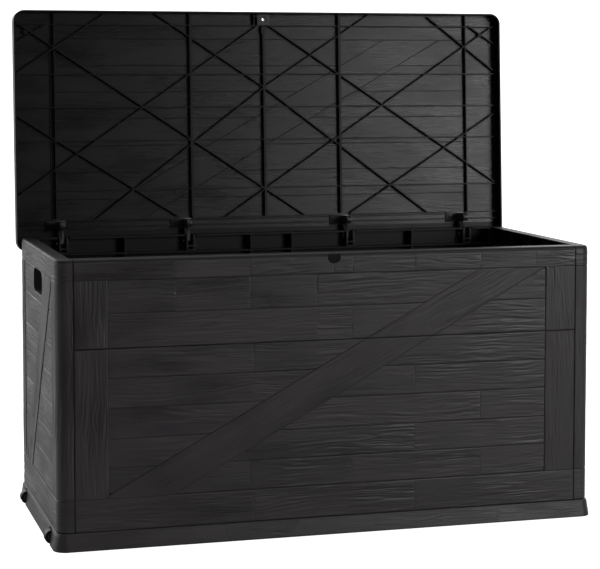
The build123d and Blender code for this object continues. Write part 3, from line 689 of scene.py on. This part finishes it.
# ---- operators ----
class DECKBOX_OT_long_walls(bpy.types.Operator):
    """Emboss boards over the front and back walls"""

    bl_idname = "deckbox.long_walls"
    bl_label = "Front and back boards"

    def execute(self, context):
        settings = context.scene.deckbox_relief
        material = wall_resin(context)
        for number, (side, facing) in enumerate((("front", (0, -1)), ("back", (0, 1)))):
            wall = Wall(facing, BODY_HALF_Y, 10 * BODY_HALF_X)
            lower = Relief(settings, 100 + 1000 * number)
            gap = lower.gap
            lower.jointed(wall, -LONG_HALF, LONG_HALF, BASE_LINE, RAIL_LOW - gap, BASE_JOINTS,
                          drops=(0.0, 1.0, 0.15))
            self.framed_rows(lower, wall, LOWER_PLANKS, RAIL_LOW + gap, SEAM_LOW)
            lower.make(f"{side}_lower_boards", "box", material)
            upper = Relief(settings, 500 + 1000 * number)
            self.framed_rows(upper, wall, UPPER_PLANKS, SEAM_HIGH, RAIL_TOP - gap)
            rail = self.notched_rail if side == "front" else self.hinge_rail
            rail(upper, wall, gap)
            upper.make(f"{side}_upper_boards", "box", material)
        return {"FINISHED"}

    def framed_rows(self, relief, wall, planks, bottom, top):
        """Stiles, planks and brace of a wall's lower or upper part. The planks run on to the seam."""
        gap = relief.gap
        stiles(relief, wall, LONG_STILE + gap, LONG_HALF, bottom, top)
        for line, next_line in zip(planks, planks[1:]):
            low, first = (line, 1.0) if line != SEAM else (SEAM_HIGH - gap, 0.1)
            high, last = (next_line, 1.0) if next_line != SEAM else (SEAM_LOW + gap, 0.1)
            braced_row(relief, wall, LONG_STILE, LONG_BRACE, low, high, LONG_JOINTS[line], PLANK_LEVEL,
                       drops=(first, last, 0.15))
        brace_board(relief, wall, LONG_BRACE, LONG_STILE, bottom, top)

    def notched_rail(self, relief, wall, gap):
        """Top rail with the round lock notch cut out of its middle."""

        def notch_edge(v):
            if v < NOTCH_LOW:
                return gap
            return gap + math.sqrt(max(0.0, NOTCH_R**2 - max(0.0, NOTCH_MID - v) ** 2))

        left = [cut for cut in RAIL_JOINTS if cut < 0]
        right = [cut for cut in RAIL_JOINTS if cut > 0]
        relief.jointed(wall, -LONG_HALF, lambda v: -notch_edge(v), RAIL_TOP + gap, RAIL_END, left)
        relief.jointed(wall, notch_edge, LONG_HALF, RAIL_TOP + gap, RAIL_END, right)

    def hinge_rail(self, relief, wall, gap):
        """Top rail cut where the hinge brackets pass through it."""
        edges = [-LONG_HALF]
        for place in sorted(-hinge for hinge in HINGE_PLACES):
            relief.level_board(wall, place - HINGE_NOTCH + 2 * gap, place + HINGE_NOTCH - 2 * gap,
                               RAIL_TOP + gap, HINGE_NOTCH_LOW)
            edges += [place - HINGE_NOTCH, place + HINGE_NOTCH]
        edges.append(LONG_HALF)
        for left, right in zip(edges[::2], edges[1::2]):
            relief.level_board(wall, left, right, RAIL_TOP + gap, RAIL_END)


class DECKBOX_OT_side_walls(bpy.types.Operator):
    """Emboss boards over both end walls and round their corners"""

    bl_idname = "deckbox.side_walls"
    bl_label = "End boards"

    def execute(self, context):
        settings = context.scene.deckbox_relief
        material = wall_resin(context)
        for number, (side, facing) in enumerate((("left", (-1, 0)), ("right", (1, 0)))):
            run = BODY_HALF_Y - BODY_CORNER
            wall = Wall(facing, BODY_HALF_X, run)
            end = run + wall.arc + SIDE_RETURN
            relief = Relief(settings, 3000 + 1000 * number)
            gap = relief.gap
            relief.level_board(wall, -end, end, BASE_LINE, RAIL_LOW - gap, drops=(0.0, 1.0, 0.0))
            relief.level_board(wall, -end, end, RAIL_TOP + gap, RAIL_END, drops=(1.0, 0.3, 0.0))
            bottom, top = RAIL_LOW + gap, RAIL_TOP - gap
            relief.upright_board(wall, SIDE_STILE + gap, end, bottom, top, drops=(1.0, 0.0, 0.8))
            relief.upright_board(wall, -end, -SIDE_STILE - gap, bottom, top, drops=(0.0, 1.0, 0.8))
            planks = (*LOWER_PLANKS, *UPPER_PLANKS[1:])
            for low, high in zip(planks[:-2], planks[1:-1]):
                braced_row(relief, wall, SIDE_STILE, SIDE_BRACE, low, high, (), PLANK_LEVEL)
            self.hand_hole_row(relief, wall, planks[-2], planks[-1], gap)
            brace_board(relief, wall, SIDE_BRACE, SIDE_STILE, bottom, top)
            relief.make(f"{side}_boards", "box", material)
        return {"FINISHED"}

    def hand_hole_row(self, relief, wall, low, high, gap):
        """Top row of planks, cut round the rounded hand hole."""
        flat = HAND_HALF_W - HAND_R

        def hole_edge(v):
            into = min(v - HAND_LOW, HAND_HIGH - v)
            if into <= 0:
                return flat + gap
            return flat + gap + math.sqrt(HAND_R**2 - max(0.0, HAND_R - into) ** 2)

        brace_edge, brace_far = line_at(SIDE_BRACE[:2]), line_at(SIDE_BRACE[2:])
        reach = HAND_CLEAR * gap
        bottom, top = low + gap, high - gap
        before_brace = lambda v: brace_edge(v) - reach
        past_brace = lambda v: brace_far(v) + reach
        relief.level_board(wall, -SIDE_STILE + gap, lambda v: -hole_edge(v), bottom, top, PLANK_LEVEL)
        relief.level_board(wall, -flat + gap, flat - gap, bottom, HAND_LOW - gap, PLANK_LEVEL, knots=False)
        relief.level_board(wall, hole_edge, before_brace, bottom, top, PLANK_LEVEL, knots=False)
        rise = (SIDE_BRACE[3][1] - SIDE_BRACE[2][1]) / (SIDE_BRACE[3][0] - SIDE_BRACE[2][0])
        stop = top - (SHORTEST_BOARD + reach + gap) * rise
        relief.level_board(wall, past_brace, SIDE_STILE - gap, bottom, stop, PLANK_LEVEL)


class DECKBOX_OT_skirt(bpy.types.Operator):
    """Emboss boards round the base tray's sloping skirt"""

    bl_idname = "deckbox.skirt"
    bl_label = "Base skirt boards"

    def execute(self, context):
        relief = Relief(context.scene.deckbox_relief, 6000)
        relief.depth *= 0.45
        faint = (0.3, 0.6, 0.0)
        straight = SKIRT_HALF_X - SKIRT_CORNER
        for facing in ((0, -1), (0, 1)):
            wall = Wall(facing, SKIRT_HALF_Y, 10 * straight, SKIRT_CORNER, SKIRT_SLOPE)
            relief.jointed(wall, -straight, straight, SKIRT_LOW, SKIRT_HIGH, SKIRT_JOINTS, drops=faint)
        roller_y = (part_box("rear_roller")[0].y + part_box("rear_roller")[1].y) / 2 / MM
        for facing in ((-1, 0), (1, 0)):
            run = SKIRT_HALF_Y - SKIRT_CORNER
            wall = Wall(facing, SKIRT_HALF_X, run, SKIRT_CORNER, SKIRT_SLOPE)
            end = run + wall.arc
            if facing[0] > 0:
                relief.level_board(wall, -end, end, SKIRT_LOW, SKIRT_HIGH, drops=faint)
                continue
            edges = (-end, -roller_y - ROLLER_GAP, -roller_y + ROLLER_GAP, roller_y - ROLLER_GAP,
                     roller_y + ROLLER_GAP, end)
            for left, right in zip(edges[::2], edges[1::2]):
                relief.level_board(wall, left, right, SKIRT_LOW, SKIRT_HIGH, drops=faint)
        relief.make("skirt_boards", "box", wall_resin(context))
        return {"FINISHED"}


class DECKBOX_OT_lid_top(bpy.types.Operator):
    """Emboss boards over the top of the lid"""

    bl_idname = "deckbox.lid_top"
    bl_label = "Lid boards"

    def execute(self, context):
        face = LidFace(under=False)
        relief = Relief(context.scene.deckbox_relief, 7000)
        gap, inset = relief.gap, LID_EDGE + 0.8
        reach = lambda v: float(face.reach(v, inset))
        back = lambda v: -reach(v)
        relief.level_board(face, back, reach, inset, LID_RAILS[0] - gap)
        hole = lambda v: gap + shackle_edge(v)
        front = face.depth - inset
        relief.level_board(face, back, lambda v: -hole(v), LID_RAILS[1] + gap, front)
        relief.level_board(face, hole, reach, LID_RAILS[1] + gap, front)
        stiles(relief, face, LID_STILE + gap, face.half - inset, LID_RAILS[0] + gap, LID_RAILS[1] - gap)
        for low, high in zip(LID_PLANKS, LID_PLANKS[1:]):
            braced_row(relief, face, LID_STILE, LID_BRACE, low, high, LID_JOINTS[low], LID_LEVEL)
        brace_board(relief, face, LID_BRACE, LID_STILE, LID_RAILS[0] + gap, LID_RAILS[1] - gap)
        material = finished(context, "lid_boards", board_resin, "lid_colour")
        relief.make("lid_top_boards", "lid", material)
        return {"FINISHED"}


class DECKBOX_OT_lid_under(bpy.types.Operator):
    """Show the boards' back side between the ribs under the lid"""

    bl_idname = "deckbox.lid_under"
    bl_label = "Lid underside"

    def execute(self, context):
        face = LidFace(under=True)
        relief = Relief(context.scene.deckbox_relief, 8000)
        relief.lift, relief.sink = 0.35, 0.3
        relief.row_step *= 1.3
        relief.depth *= 0.45

        def height(place):
            """Boards seen faintly from behind, and smooth beyond the outer ribs."""
            u, v = place[..., 0], place[..., 1]
            grain = wood_relief(u, v + 31, 8101, [(-330, 300, 8), (250, 390, 9), (360, 180, 8), (120, 90, 7)])
            upper, lower = line_at(LID_BRACE[:2])(v), line_at(LID_BRACE[2:])(v)
            inside = (np.abs(u) < LID_STILE) & (v > LID_RAILS[0]) & (v < LID_RAILS[1])
            planks = inside & ((u < upper) | (u > lower))
            return np.where(planks, 0.9 * grain, 0.3 * grain)

        def sheet(left, right, low, high):
            relief.level_board(face, left, right, low, high, knots=False, edges=False, height=height)

        reach = lambda v: float(face.reach(v, LIP_INNER))
        back = lambda v: -reach(v)
        # Starting the sheet past the hinge band leaves the darkened lid shell bare there: painted shade.
        sheet(back, reach, HINGE_BAND, BOSS_S)
        sheet(back, -BOSS_HALF, BOSS_S, face.depth - LIP_INNER)
        sheet(BOSS_HALF, reach, BOSS_S, face.depth - LIP_INNER)
        self.padlock_plate(context, face)
        self.beads(context, face)
        material = finished(context, "lid_underside", board_resin, "lid_colour", 0.30, 0.10, 0.41)
        relief.make("lid_underside", "lid", material)
        return {"FINISHED"}

    def padlock_plate(self, context, face):
        """Smooth plate over the padlock boss, open round the shackle hole."""
        plate = Relief(context.scene.deckbox_relief, 8200)
        plate.lift, plate.sink = 0.3, 0.25
        flat = {"level": BOSS_RISE, "knots": False, "height": lambda place: 0 * place[..., 0]}
        low, high = BOSS_S + BOSS_MARGIN / 2, face.depth - LIP_INNER
        half = BOSS_HALF - BOSS_MARGIN
        plate.level_board(face, -half, lambda v: -shackle_edge(v), low, high, **flat)
        plate.level_board(face, shackle_edge, half, low, high, **flat)
        # The plate takes the walls' resin, several times lighter than the lid's: painted light on its flat
        # face.
        plate.make("padlock_plate", "lid", tray_resin(context))

    def beads(self, context, face):
        """Low ridges behind the joints between the boards on top of the lid."""
        ridges = Relief(context.scene.deckbox_relief, 8300)
        upper, lower = line_at(LID_BRACE[:2]), line_at(LID_BRACE[2:])
        for line in LID_PLANKS[1:-1]:
            bead(ridges, face, (-LID_STILE, line), (upper(line), line))
            bead(ridges, face, (lower(line), line), (LID_STILE, line))
        for line in LID_RAILS:
            bead(ridges, face, (-LID_STILE, line), (LID_STILE, line))
        for near, far in (LID_BRACE[:2], LID_BRACE[2:]):
            bead(ridges, face, near, far)
        bead(ridges, face, (-LID_STILE, LID_RAILS[0]), (-LID_STILE, LID_RAILS[1]), 1.1, 1.6)
        # The ridges take the darkened lid resin: painted shade, so that they read as dark lines.
        ridges.make("lid_beads", "lid", shade_darkened_resin(context))


def softened(node, name, width, material):
    """A copy of a CAD node with its edges rounded, standing in for it."""
    source = frame["nodes"][node]
    mesh = source.data.copy()
    mesh.name = name
    mesh.materials.clear()
    shell = bmesh.new()
    shell.from_mesh(mesh)
    bmesh.ops.remove_doubles(shell, verts=shell.verts, dist=0.00001)
    bmesh.ops.dissolve_limit(shell, angle_limit=math.radians(1.0), verts=shell.verts, edges=shell.edges)
    sharp = [edge for edge in shell.edges if edge.is_manifold and edge.calc_face_angle() > math.radians(35)]
    bmesh.ops.bevel(shell, geom=sharp, offset=width, segments=3, profile=0.5, affect="EDGES",
                    clamp_overlap=True)
    shell.to_mesh(mesh)
    shell.free()
    piece = finish_piece(mesh, name, source["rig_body"], material, math.radians(40))
    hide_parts(node)
    return piece


def two_tone(piece, middle, half, material):
    """Give the faces of a piece that lie off its middle in x another material."""
    piece.data.materials.append(material)
    for face in piece.data.polygons:
        face.material_index = int(abs(face.center.x - middle) > half)


class DECKBOX_OT_hinges(bpy.types.Operator):
    """Round the edges of the lid's arms and of their brackets"""

    bl_idname = "deckbox.hinges"
    bl_label = "Hinge arms and brackets"

    def execute(self, context):
        gloss = finished(context, "hinge_resin", plain_resin, "wall_colour", 0.30, 0.3)
        matt = finished(context, "bracket_resin", plain_resin, "roller_colour", 0.55, 0.5)
        for number in range(1, 5):
            arm = softened(f"lid_arm_{number}", f"lid_arm_body_{number}", 0.0012, gloss)
            # The plate of each arm, off its knob, takes the darkened lid resin: painted shade.
            two_tone(arm, HINGE_PLACES[number - 1] * MM, 0.0062, shade_darkened_resin(context))
            softened(f"hinge_bracket_{number}", f"hinge_bracket_body_{number}", 0.0006, matt)
        steel = finished(context, "zinc_steel", brushed_metal, "steel_colour", 0.35)
        paint(("hinge_pins", "front_axle", "rear_axle"), steel)
        black = finished(context, "black_zinc", brushed_metal, "screw_colour", 0.5)
        paint(("bracket_screws", "arm_screws"), black)
        return {"FINISHED"}


class DECKBOX_OT_rollers(bpy.types.Operator):
    """Turn the two rollers, with grooves round their treads and a raised hub"""

    bl_idname = "deckbox.rollers"
    bl_label = "Rollers"

    def execute(self, context):
        material = finished(context, "roller_plastic", plain_resin, "roller_colour", 0.38, 0.6)
        for end in ("front", "rear"):
            low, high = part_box(f"{end}_roller")
            middle, radius, half = (low + high) / 2, (high.z - low.z) / 2, (high.y - low.y) / 2
            shell = bmesh.new()
            outline = self.outline(radius, half)
            rings = [shell.verts.new(middle + Vector((r, y, 0))) for r, y in outline]
            loop = [shell.edges.new((a, b)) for a, b in zip(rings, rings[1:] + rings[:1])]
            bmesh.ops.spin(shell, geom=rings + loop, cent=middle, axis=(0, 1, 0), angle=2 * math.pi, steps=64)
            bmesh.ops.remove_doubles(shell, verts=shell.verts, dist=0.000001)
            name = f"{end}_roller_tread"
            mesh = bpy.data.meshes.new(name)
            shell.to_mesh(mesh)
            shell.free()
            piece = finish_piece(mesh, name, f"{end}_wheel", material, math.radians(40))
            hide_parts(f"{end}_roller")
        return {"FINISHED"}

    def outline(self, radius, half):
        """Half section of a roller as (radius, place along the axle), closed round its bore."""
        bore, hub, dish, groove = 0.0026, 0.005, 0.0020, 0.0008
        points = [(bore, -half), (hub, -half), (hub + 0.0004, -half + dish), (radius - 0.0042, -half + dish)]
        points += [(radius - 0.0038, -half + 0.0002), (radius - 0.0020, -half)]
        for step in range(1, 5):
            angle = step * math.pi / 8
            points.append((radius - 0.0020 * (1 - math.sin(angle)), -half + 0.0020 * (1 - math.cos(angle))))
        for middle in (-0.0036, 0.0, 0.0036):
            points += [(radius, middle - 0.0007), (radius - groove, middle - 0.0003)]
            points += [(radius - groove, middle + 0.0003), (radius, middle + 0.0007)]
        return points + [(r, -y) for r, y in points[:10][::-1]]


class DECKBOX_OT_shells(bpy.types.Operator):
    """Finish the panels, the base tray and the lid's shell"""

    bl_idname = "deckbox.shells"
    bl_label = "Panels, base and lid shell"

    def execute(self, context):
        walls = [name for name in frame["nodes"] if name.endswith("_panel")]
        # The panels' bare faces, inside the box, along the rims and in the joints between boards, take 0.6 of
        # the wall colour: painted shade for the dim inside of the box.
        inner = finished(context, "anthracite_panels", plain_resin, "wall_colour", 0.46, 0.5, 0.27,
                         share=0.6)
        paint(walls, inner)
        paint(["base_tray"], tray_resin(context))
        # The lid shell takes the darkened lid resin: painted shade.
        paint(["lid_shell"], shade_darkened_resin(context))
        return {"FINISHED"}


def soft_light(name, place, aim, size, power):
    """Square area light that looks at a point."""
    light = bpy.data.lights.new(name, "AREA")
    light.shape = "RECTANGLE"
    light.size, light.size_y = size
    light.energy = power
    lamp = bpy.data.objects.new(name, light)
    lamp.location = place
    lamp.rotation_euler = (Vector(aim) - Vector(place)).to_track_quat("-Z", "Y").to_euler()
    bpy.context.scene.collection.objects.link(lamp)


class DECKBOX_OT_stage(bpy.types.Operator):
    """Camera, pale floor and studio light"""

    bl_idname = "deckbox.stage"
    bl_label = "Stage"

    def execute(self, context):
        settings = context.scene.deckbox_stage
        scene = context.scene
        scene.view_settings.view_transform = "Standard"
        self.camera(scene)
        self.floor(settings)
        self.surroundings(scene)
        soft_light("right_softbox", (3.0, -4.4, 1.35), (0.2, 0.0, 0.6), (1.8, 2.1), settings.right_power)
        soft_light("top_softbox", (0.1, -1.2, 3.6), (0.0, 0.0, 0.3), (2.6, 1.6), settings.top_power)
        soft_light("left_softbox", (-3.2, 0.6, 1.4), (-0.6, 0.0, 0.4), (1.2, 2.2), settings.left_power)
        return {"FINISHED"}

    def camera(self, scene):
        """Long lens from the front left, a little above the rim, with the view shifted down."""
        data = bpy.data.cameras.new("camera")
        data.lens, data.sensor_width = 112.4, 36.0
        data.shift_y = -0.1408
        data.clip_end = 60.0
        camera = bpy.data.objects.new("camera", data)
        camera.location = (-1.144, -4.012, 0.983)
        camera.rotation_euler = (math.radians(90 - 4.006), 0.0, math.radians(-15.939))
        scene.collection.objects.link(camera)
        scene.camera = camera

    def floor(self, settings):
        """Wide floor, pale round the box and dark in front of it, that looks white to the camera."""
        material, tree, shader = new_material("studio_floor")
        place = object_place(tree)
        cloud = noise_node(tree, place, 1.5, 2.0)
        split = tree.nodes.new("ShaderNodeSeparateXYZ")
        link(tree, place, split.inputs["Vector"])
        pale = ranged(tree, split.outputs["Y"], -1.6, -0.4, 0.06, 1.0)
        tone = math_node(tree, "MULTIPLY", pale, ranged(tree, cloud, 0.3, 0.7, 0.96, 1.0))
        link(tree, shaded(tree, (*settings.floor_colour,), tone), shader.inputs["Base Color"])
        shader.inputs["Roughness"].default_value = 0.7
        seen = tree.nodes.new("ShaderNodeLightPath").outputs["Is Camera Ray"]
        shader.inputs["Emission Color"].default_value = (1.0, 1.0, 1.0, 1.0)
        link(tree, seen, shader.inputs["Emission Strength"])
        half = 30.0
        corners = [(-half, -half, 0), (half, -half, 0), (half, half, 0), (-half, half, 0)]
        mesh = bpy.data.meshes.new("floor")
        mesh.from_pydata(corners, [], [(0, 1, 2, 3)])
        mesh.materials.append(material)
        floor = bpy.data.objects.new("floor", mesh)
        bpy.context.scene.collection.objects.link(floor)

    def surroundings(self, scene):
        """White studio wall behind the box and a dim room in front of it."""
        world = bpy.data.worlds.new("studio")
        scene.world = world
        world.use_nodes = True
        tree = world.node_tree
        background = tree.nodes["Background"]
        direction = tree.nodes.new("ShaderNodeTexCoord").outputs["Generated"]
        split = tree.nodes.new("ShaderNodeSeparateXYZ")
        link(tree, direction, split.inputs["Vector"])
        glow = ranged(tree, split.outputs["Y"], 0.0, 0.5, 0.045, 1.55)
        seen = tree.nodes.new("ShaderNodeLightPath").outputs["Is Camera Ray"]
        link(tree, math_node(tree, "MAXIMUM", glow, seen), background.inputs["Strength"])
        background.inputs["Color"].default_value = (1.0, 1.0, 1.0, 1.0)


class DECKBOX_PT_panel(bpy.types.Panel):
    """Sidebar panel with the settings and the build steps"""

    bl_label = "Deck Box"
    bl_idname = "DECKBOX_PT_panel"
    bl_space_type = "VIEW_3D"
    bl_region_type = "UI"
    bl_category = "Deck Box"

    def draw(self, context):
        layout = self.layout
        for group in (getattr(context.scene, name) for name in SETTINGS):
            box = layout.box()
            for name in group.bl_rna.properties.keys():
                if name not in ("rna_type", "name"):
                    box.prop(group, name)
        for operator in OPERATORS:
            layout.operator(operator.bl_idname)


SETTINGS = {
    "deckbox_relief": ReliefSettings,
    "deckbox_finish": FinishSettings,
    "deckbox_stage": StageSettings,
}
OPERATORS = (
    DECKBOX_OT_stage,
    DECKBOX_OT_shells,
    DECKBOX_OT_long_walls,
    DECKBOX_OT_side_walls,
    DECKBOX_OT_skirt,
    DECKBOX_OT_lid_top,
    DECKBOX_OT_lid_under,
    DECKBOX_OT_hinges,
    DECKBOX_OT_rollers,
)


def register():
    for group in (*SETTINGS.values(), *OPERATORS, DECKBOX_PT_panel):
        bpy.utils.register_class(group)
    for name, group in SETTINGS.items():
        setattr(bpy.types.Scene, name, PointerProperty(type=group))


def unregister():
    for name in SETTINGS:
        delattr(bpy.types.Scene, name)
    for group in (DECKBOX_PT_panel, *OPERATORS[::-1], *SETTINGS.values()):
        bpy.utils.unregister_class(group)


def main():
    register()
    for operator in OPERATORS:
        group, name = operator.bl_idname.split(".")
        if getattr(getattr(bpy.ops, group), name)() != {"FINISHED"}:
            raise RuntimeError(f"{operator.bl_label} did not finish")


if __name__ == "__main__":
    main()
